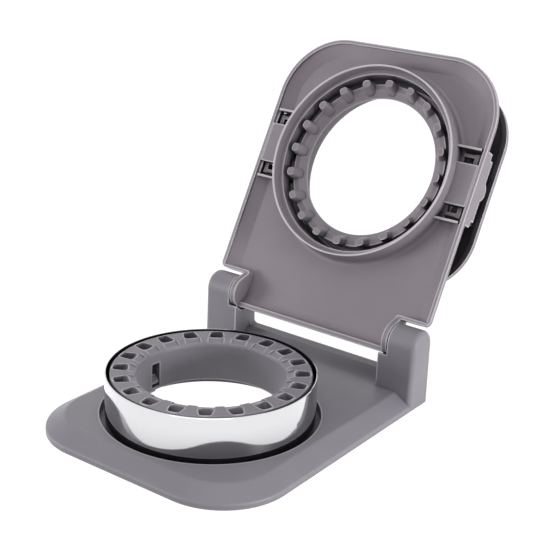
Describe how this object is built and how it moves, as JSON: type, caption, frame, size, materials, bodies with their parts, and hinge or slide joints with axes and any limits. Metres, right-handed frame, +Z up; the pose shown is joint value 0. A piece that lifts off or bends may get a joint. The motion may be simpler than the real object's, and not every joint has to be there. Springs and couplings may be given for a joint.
{
  "type": "sandwich cutter",
  "caption": "Hinged kitchen cutter that trims off a sandwich's crusts with a round steel band and seals its edge with toothed plastic dies, shown with its lid open.",
  "frame": {"origin": "on the cutting ring's axis, in the plane of the base's underside", "axes": "+X right along the hinge, +Y back towards the hinge, +Z up"},
  "size_m": [0.118, 0.2095, 0.1452],
  "materials": {
    "grey_plastic": "satin moulded",
    "polished_steel": "polished",
    "screw_steel": "plain",
    "spring_steel": "plain wire"
  },
  "bodies": {
    "base": {"base_plate": "grey_plastic", "cutting_ring": "polished_steel", "lower_die": "grey_plastic"},
    "lid": {"lid_frame": "grey_plastic", "return_spring_left": "spring_steel", "return_spring_right": "spring_steel"},
    "press": {"press_plate": "grey_plastic", "upper_die": "grey_plastic", "die_screws": "screw_steel"}
  },
  "joints": [
    {"name": "lid_hinge", "type": "hinge", "parent": "base", "child": "lid", "pos_m": [0, 0.0751, 0.0287], "axis": [1, 0, 0], "range_deg": [0, 119.1]},
    {"name": "press_slide", "type": "slide", "parent": "lid", "child": "press", "axis": [0, -0.8738, 0.4863], "range_m": [0, 0.0046], "stiffness_N_per_m": 900, "springref_m": -0.002, "deforming": ["return_spring_left", "return_spring_right"]}
  ]
}
